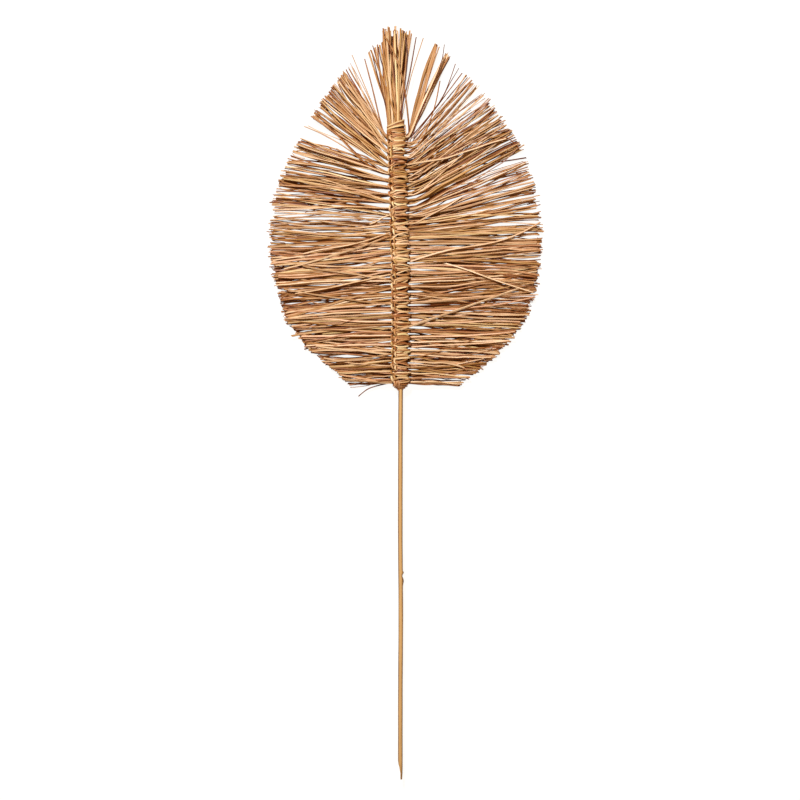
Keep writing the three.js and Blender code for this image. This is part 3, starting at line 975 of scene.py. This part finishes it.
def tuft_straws(stock, settings, rng):
    """The straws of the tuft, spread from the top of the spine, and dark straws among them that paint the
    shadows in its gaps.
    """
    straws = []
    leftmost, rightmost = TUFT_X
    for tip_x, tip_y, size, tone in tuft_tips(rng):
        deep = tone < TUFT_DEEP_TONE
        share = (tip_x - leftmost) / (rightmost - leftmost) + rng.gauss(0, 0.08 if deep else 0.36)
        root_x = spine_x(SPINE_TOP_Y) + lerp(*TUFT_ROOT_X, min(1, max(0, share)))
        level = rng.uniform(0, 0.25) if deep else rng.uniform(0.3, 1)
        height = lerp(*TUFT_HEIGHT, level)
        bow = rng.gauss(0, 2.2)
        path = [
            (root_x + 0.5, SPINE_TOP_Y - 45, SPINE_Z + height * 0.8),
            (root_x, SPINE_TOP_Y - 8, SPINE_Z + height * 0.8),
            (lerp(root_x, tip_x, 0.1), SPINE_TOP_Y + 12, SPINE_Z + height),
            (lerp(root_x, tip_x, 0.5) + bow, lerp(SPINE_TOP_Y, tip_y, 0.54), SPINE_Z + height * 1.1),
            (tip_x, tip_y, SPINE_Z + height * 1.3),
        ]
        width = settings.width / MM * size * rng.uniform(1.1, 1.3)
        hue = rng.uniform(0.55, 1.0)
        straws.append(
            stock.lay("wing", path, width, settings.flatness, rng, taper=0.05, tone=tone, hue=hue)
        )
    for width, height, plan in TUFT_SHADOW_STRAWS:
        path = [(x, y, SPINE_Z + (height if y > SPINE_TOP_Y + 10 else 1.5)) for x, y in plan]
        straws.append(stock.lay("wing", path, width, 0.7, rng, taper=0.1, tone=0.0, hue=0.6))
    straws.append(stock.lay("wing", TUFT_LEANING, 2.2, 0.8, rng, tone=0.42, hue=0.7))
    return straws


# Stick


def runs_between(edge, corners, low, high):
    """Whether an edge runs along the stick between two heights."""
    first, second = (corners[corner].co.y / MM for corner in edge.vertices)
    return abs(first - second) > 0.5 and low < min(first, second) and max(first, second) < high


def stick_piece(settings, material):
    """The bamboo stick: round, a little wavy, with the scar of a bud, and a foot split at the cut."""
    radius = settings.diameter / 2
    foot, top = STICK_LOW.y * MM, STICK_HIGH.y * MM
    bpy.ops.object.select_all(action="DESELECT")
    bpy.ops.mesh.primitive_cylinder_add(
        vertices=20, radius=radius, depth=top - foot, location=(0, (foot + top) / 2, SPINE_Z * MM),
        rotation=(math.pi / 2, 0, 0),
    )
    stick = bpy.context.object
    bpy.ops.object.transform_apply(location=True, rotation=True, scale=True)
    corners = stick.data.vertices
    bpy.ops.object.mode_set(mode="EDIT")
    select_parts(stick, "edges", lambda edge: span(edge, corners, 1) > 0.1)
    bpy.ops.mesh.subdivide(number_cuts=STICK_CUTS)
    for low, high, cuts in FINE_CUTS:
        select_parts(stick, "edges", lambda edge: runs_between(edge, corners, low, high))
        bpy.ops.mesh.subdivide(number_cuts=cuts)
    bpy.ops.object.mode_set(mode="OBJECT")
    across = []
    for corner in stick.data.vertices:
        x, y, z = corner.co
        at = y / MM
        side, depth = x / MM, z / MM - SPINE_Z
        across.append(x / radius)
        split = STICK_LOW.y + SPLIT_LONG - at
        if split > 0:
            side = max(side, lerp(-radius / MM, 0.1, min(1.0, split / SPLIT_TAPER)))
            narrow = max(0.0, split - SPLIT_TAPER) / (SPLIT_LONG - SPLIT_TAPER)
            side = min(side, lerp(radius / MM, 2.2, narrow))
            depth *= lerp(1, 0.5, min(1.0, split / SPLIT_LONG))
        scar = sum(high * math.exp(-(((at - SCAR_Y - up) / long) ** 2)) for up, high, long in SCAR)
        side += scar * max(0.0, side) / (radius / MM)
        thick = 1 + 0.012 * math.sin(at * 0.11)
        wave = SWAY + 0.3 * math.cos(0.021 * (at - SWAY_Y)) + 0.1 * math.sin(at * 0.041)
        side = side * thick + wave * (at < 0) + spine_x(at)
        corner.co = (side * MM, y, (SPINE_Z + depth * thick) * MM)
    stick.data.attributes.new("stick_across", "FLOAT", "POINT").data.foreach_set("value", across)
    stick.name = stick.data.name = "bamboo_stick_turned"
    stick.data.materials.append(material)
    activate(stick)
    bpy.ops.object.shade_smooth_by_angle(angle=math.radians(40))
    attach(stick, BODY)
    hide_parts("bamboo_stick")


# Materials


def pick(sockets, key):
    """A socket by its number, identifier or name."""
    if isinstance(key, int):
        return sockets[key]
    found = [socket for socket in sockets if socket.identifier == key]
    found += [socket for socket in sockets if socket.name == key]
    return found[0]


class Wire:
    """A value in a material's nodes. Arithmetic on wires adds Math nodes."""

    def __init__(self, tree, socket=None):
        self.tree = tree
        self.socket = socket

    def node(self, kind, settings=None, sockets=None, out=0):
        """Adds any node: its settings first, then the values or wires of its sockets."""
        node = self.tree.nodes.new(kind)
        for key, value in (settings or {}).items():
            if key == "stops":
                self.set_stops(node.color_ramp, value)
            else:
                setattr(node, key, value)
        for key, value in (sockets or {}).items():
            socket = pick(node.inputs, key)
            if isinstance(value, Wire):
                self.tree.links.new(value.socket, socket)
            else:
                socket.default_value = value
        return Wire(self.tree, pick(node.outputs, out) if node.outputs else None)

    @staticmethod
    def set_stops(ramp, stops):
        while len(ramp.elements) < len(stops):
            ramp.elements.new(1.0)
        for element, (position, colour) in zip(ramp.elements, stops):
            element.position = position
            element.color = (*colour, 1.0)

    def maths(self, operation, first, second):
        return self.node("ShaderNodeMath", {"operation": operation}, {0: first, 1: second})

    def __add__(self, other):
        return self.maths("ADD", self, other)

    __radd__ = __add__

    def __sub__(self, other):
        return self.maths("SUBTRACT", self, other)

    def __rsub__(self, other):
        return self.maths("SUBTRACT", other, self)

    def __mul__(self, other):
        return self.maths("MULTIPLY", self, other)

    __rmul__ = __mul__

    def __pow__(self, other):
        return self.maths("POWER", self, other)

    def __abs__(self):
        return self.node("ShaderNodeMath", {"operation": "ABSOLUTE"}, {0: self})

    def mark(self, name):
        """A number that the points of a mesh carry."""
        return self.node("ShaderNodeAttribute", {"attribute_name": name}, out="Fac")

    def tint(self, share, base, colour):
        """A colour multiplied by another, as far as a share says."""
        return self.node(
            "ShaderNodeMix", {"data_type": "RGBA", "blend_type": "MULTIPLY"},
            {"Factor_Float": share, "A_Color": base, "B_Color": (*colour, 1)}, out="Result_Color",
        )

    def fade(self, value, start, end, full, kind="LINEAR"):
        """Grows from nothing, where a value is at its start, to full at its end."""
        return self.node(
            "ShaderNodeMapRange", {"interpolation_type": kind},
            {"Value": value, "From Min": start, "From Max": end, "To Min": 0.0, "To Max": full},
        )

    def noise(self, vector, scale, detail=2.0, rough=0.5):
        return self.node(
            "ShaderNodeTexNoise", None,
            {"Vector": vector, "Scale": scale, "Detail": detail, "Roughness": rough}, out="Fac",
        )

    def bump(self, height, strength, distance):
        return self.node(
            "ShaderNodeBump", None, {"Strength": strength, "Distance": distance, "Height": height},
            out="Normal",
        )

    def ramp(self, value, stops):
        return self.node("ShaderNodeValToRGB", {"stops": stops}, {"Fac": value}, out="Color")

    def surface(self, sockets):
        """Adds the shader and the material's output."""
        shader = self.node("ShaderNodeBsdfPrincipled", None, sockets)
        self.node("ShaderNodeOutputMaterial", None, {"Surface": shader})


def new_material(name):
    material = bpy.data.materials.new(name)
    material.use_nodes = True
    material.node_tree.nodes.clear()
    return material, Wire(material.node_tree)


def straw_material(name, settings):
    """Dried straw: each stalk has its own tone, with streaks along it, blotches and a weathered cut end,
    painted shade along its edges, and more painted shade on the darkest straws.
    """
    material, wire = new_material(name)
    along, across = wire.mark("straw_along"), wire.mark("straw_across")
    tone, hue = wire.mark("straw_tone"), wire.mark("straw_hue")
    tip = wire.mark("straw_tip")
    own = tone * 61.0 + hue * 37.0
    lengthwise = wire.node("ShaderNodeCombineXYZ", None, {"X": along * 0.035, "Y": across * 2.2, "Z": own})
    streak = wire.noise(lengthwise, 1.6, 3.0, 0.6)
    patch = wire.node(
        "ShaderNodeCombineXYZ", None, {"X": along * 0.045, "Y": across * 0.25, "Z": own + 5.0}
    )
    blotch = wire.noise(patch, 1.0)
    # Painted shade along each straw's edges, darkest at its sides
    edge_shade = (across * across) ** 1.5
    value = tone + (streak - 0.5) * 0.65 + (blotch - 0.5) * 0.45 - tip * 0.08 - edge_shade * 0.42
    dark, middle, light = (tuple(colour) for colour in (settings.dark, settings.middle, settings.light))
    # The dark end of the ramp serves both the brownest straws and the painted shade
    base = wire.ramp(value, [(0.05, dark), (0.5, middle), (0.95, light)])
    # Straws of the lowest tones, deep in the pile, the tuft and the ring, are darkened further: painted
    # shade
    deep_shade = wire.fade(tone, 0.16, 0.0, 0.9)
    reddish = wire.fade(hue, 0.33, 0.0, 0.8)
    khaki = wire.fade(hue, 0.62, 1.0, 0.8)
    base = wire.tint(deep_shade, base, (0.42, 0.42, 0.3))
    base = wire.tint(reddish, base, (1.0, 0.8, 0.8))
    base = wire.tint(khaki, base, (0.94, 1.0, 0.74))
    bump = wire.bump(streak, 0.35, 0.0003)
    wire.surface(
        {"Base Color": base, "Roughness": 0.34 + streak * 0.25, "Normal": bump, "Specular IOR Level": 0.34}
    )
    return material


def bamboo_material(settings):
    """Planed split bamboo: fine fibres along the stick, painted shade on its flanks, and a dark scar and
    foot.
    """
    material, wire = new_material("bamboo")
    place = wire.node("ShaderNodeTexCoord", out="Object")
    drawn = wire.node("ShaderNodeMapping", None, {"Vector": place, "Scale": (1400.0, 22.0, 1400.0)})
    fibre = wire.noise(drawn, 1.0, 3.0, 0.65)
    broad = wire.node("ShaderNodeMapping", None, {"Vector": place, "Scale": (300.0, 9.0, 300.0)})
    patch = wire.noise(broad, 1.0)
    height = wire.node("ShaderNodeSeparateXYZ", None, {"Vector": place}, out="Y")
    across = wire.mark("stick_across")
    # Painted shade towards both flanks of the round stick
    flank_shade = across * across * 0.9
    scar = wire.fade(abs(height - SCAR_Y * MM), 0.008, 0.0, 1.0, "SMOOTHSTEP")
    right = wire.fade(across, 0.3, 0.9, 0.6)
    foot = wire.fade(height, -0.45, -0.468, 0.35)
    value = fibre * 0.7 + patch * 0.5 - height * 0.3 - flank_shade - scar * right - foot
    base = wire.ramp(value, [(0.0, tuple(settings.dark)), (0.62, tuple(settings.light))])
    bump = wire.bump(fibre, 0.25, 0.0002)
    wire.surface({"Base Color": base, "Roughness": 0.4 + patch * 0.2, "Normal": bump})
    return material


def floor_material(settings):
    """A pale table that glows a little, as a light table does."""
    material, wire = new_material("pale_floor")
    wire.surface({
        "Base Color": (*settings.floor, 1), "Roughness": 0.9, "Specular IOR Level": 0.1,
        "Emission Color": (1, 0.992, 0.97, 1), "Emission Strength": settings.floor_glow,
    })
    return material


class Workshop:
    """What the operators share: the straw blanks and the finishes, made at first use."""

    stock = None
    finishes = {}

    @classmethod
    def straws(cls):
        if cls.stock is None:
            cls.stock = StrawStock()
        return cls.stock

    @classmethod
    def finish(cls, name, make):
        if name not in cls.finishes:
            cls.finishes[name] = make()
        return cls.finishes[name]


def straw_finish(context):
    return Workshop.finish("straw", lambda: straw_material("dry_straw", context.scene.leaf_straw))


def binding_finish(context):
    return Workshop.finish("binding", lambda: straw_material("binding_straw", context.scene.leaf_binding))


# Operators


class LEAF_OT_stick(bpy.types.Operator):
    """Turns the bamboo stick"""

    bl_idname = "leaf.stick"
    bl_label = "Bamboo stick"

    def execute(self, context):
        settings = context.scene.leaf_stick
        stick_piece(settings, bamboo_material(settings))
        return {"FINISHED"}


class LEAF_OT_core(bpy.types.Operator):
    """Lays the lengthwise straws of the core and spreads their free ends into the tuft"""

    bl_idname = "leaf.core"
    bl_label = "Core and tuft"

    def execute(self, context):
        stock, settings = Workshop.straws(), context.scene.leaf_straw
        rng = random.Random(CORE_SEED)
        straws = ring_straws(stock, settings, rng) + tuft_straws(stock, settings, rng)
        finish_piece(straws, "core_and_tuft_straws", "core_bundle_and_tuft", straw_finish(context))
        return {"FINISHED"}


class LEAF_OT_courses(bpy.types.Operator):
    """Lays the lower courses, whose straws run straight across behind the core"""

    bl_idname = "leaf.courses"
    bl_label = "Straight courses"

    def execute(self, context):
        stock, settings = Workshop.straws(), context.scene.leaf_straw
        finish = straw_finish(context)
        for course in range(ACROSS_COUNT):
            number = f"{course + 1:02d}"
            straws = across_straws(stock, course, settings, random.Random(COURSE_SEED + course))
            finish_piece(straws, "course_straws_" + number, "straw_course_" + number, finish)
        return {"FINISHED"}


class LEAF_OT_bunches(bpy.types.Operator):
    """Lays the upper bunches, which are tucked in from each side and fan up"""

    bl_idname = "leaf.bunches"
    bl_label = "Fanned bunches"

    def execute(self, context):
        stock, settings = Workshop.straws(), context.scene.leaf_straw
        finish = straw_finish(context)
        for course in range(ACROSS_COUNT, COURSE_COUNT):
            number = f"{course + 1:02d}"
            for side, word in SIDE_NAMES.items():
                rng = random.Random(BUNCH_SEED + course * 2 + side)
                straws = side_straws(stock, side, course, settings, rng)
                node = f"{word}_straw_bunch_{number}"
                finish_piece(straws, f"{word}_bunch_straws_{number}", node, finish)
        return {"FINISHED"}


class LEAF_OT_lashing(bpy.types.Operator):
    """Winds the binding straw round the spine, with its hitches, base knot and top band"""

    bl_idname = "leaf.lashing"
    bl_label = "Lashing"

    def execute(self, context):
        settings = context.scene.leaf_binding
        stock = Workshop.straws()
        finish = binding_finish(context)
        made = (
            ("lashing_turns", "lashing_straw", lashing_straws),
            ("hitch_loops", "hitch_chain", hitch_straws),
            ("base_knot_turns", "base_knot", base_knot_straws),
            ("top_band_turns", "top_band", top_band_straws),
        )
        for seed, (name, node, make) in enumerate(made):
            straws = make(stock, settings, random.Random(BINDING_SEED + seed))
            finish_piece(straws, name, node, finish)
        return {"FINISHED"}


class LEAF_OT_stage(bpy.types.Operator):
    """Sets the pale floor, the soft lights and the camera that looks down on the leaf"""

    bl_idname = "leaf.stage"
    bl_label = "Stage"

    def execute(self, context):
        settings = context.scene.leaf_stage
        bpy.ops.object.select_all(action="DESELECT")
        bpy.ops.mesh.primitive_plane_add(size=settings.floor_size, location=(0, 0, 0))
        floor = context.object
        floor.name = "pale_floor"
        floor.data.materials.append(floor_material(settings))
        centre_y = (LEAF_LOW.y + LEAF_HIGH.y) / 2 * MM + settings.aim_above
        sensor, leaf_level = 36, 10 * MM
        height = settings.frame_width * settings.lens / sensor + leaf_level
        bpy.ops.object.camera_add(location=(0, centre_y, height), rotation=(0, 0, 0))
        camera = context.object
        camera.data.lens = settings.lens
        context.scene.camera = camera
        bpy.ops.object.light_add(type="AREA", location=settings.key_place)
        key = context.object
        key.data.size = settings.key_size
        key.data.energy = settings.key_power
        key.rotation_euler = (-key.location).to_track_quat("-Z", "Y").to_euler()
        world = bpy.data.worlds.new("soft_fill")
        world.use_nodes = True
        world.node_tree.nodes["Background"].inputs["Color"].default_value = (*settings.fill_colour, 1)
        world.node_tree.nodes["Background"].inputs["Strength"].default_value = settings.fill
        context.scene.world = world
        context.scene.view_settings.view_transform = "Standard"
        return {"FINISHED"}


class LEAF_PT_panel(bpy.types.Panel):
    """Lists the steps of making the leaf"""

    bl_idname = "LEAF_PT_panel"
    bl_label = "Straw leaf"
    bl_space_type = "VIEW_3D"
    bl_region_type = "UI"
    bl_category = "Straw leaf"

    def draw(self, context):
        for operator in OPERATORS:
            self.layout.operator(operator.bl_idname)


SETTINGS = {
    "leaf_straw": StrawSettings, "leaf_binding": BindingSettings, "leaf_stick": StickSettings,
    "leaf_stage": StageSettings,
}
OPERATORS = (LEAF_OT_stage, LEAF_OT_stick, LEAF_OT_core, LEAF_OT_courses, LEAF_OT_bunches, LEAF_OT_lashing)


def register():
    for name, group in SETTINGS.items():
        bpy.utils.register_class(group)
        setattr(bpy.types.Scene, name, PointerProperty(type=group))
    for made in (*OPERATORS, LEAF_PT_panel):
        bpy.utils.register_class(made)


def unregister():
    for made in (LEAF_PT_panel, *reversed(OPERATORS)):
        bpy.utils.unregister_class(made)
    for name, group in SETTINGS.items():
        delattr(bpy.types.Scene, name)
        bpy.utils.unregister_class(group)


def main():
    register()
    bpy.ops.leaf.stage()
    bpy.ops.leaf.stick()
    bpy.ops.leaf.core()
    bpy.ops.leaf.courses()
    bpy.ops.leaf.bunches()
    bpy.ops.leaf.lashing()
    Workshop.straws().clear()


if __name__ == "__main__":
    main()
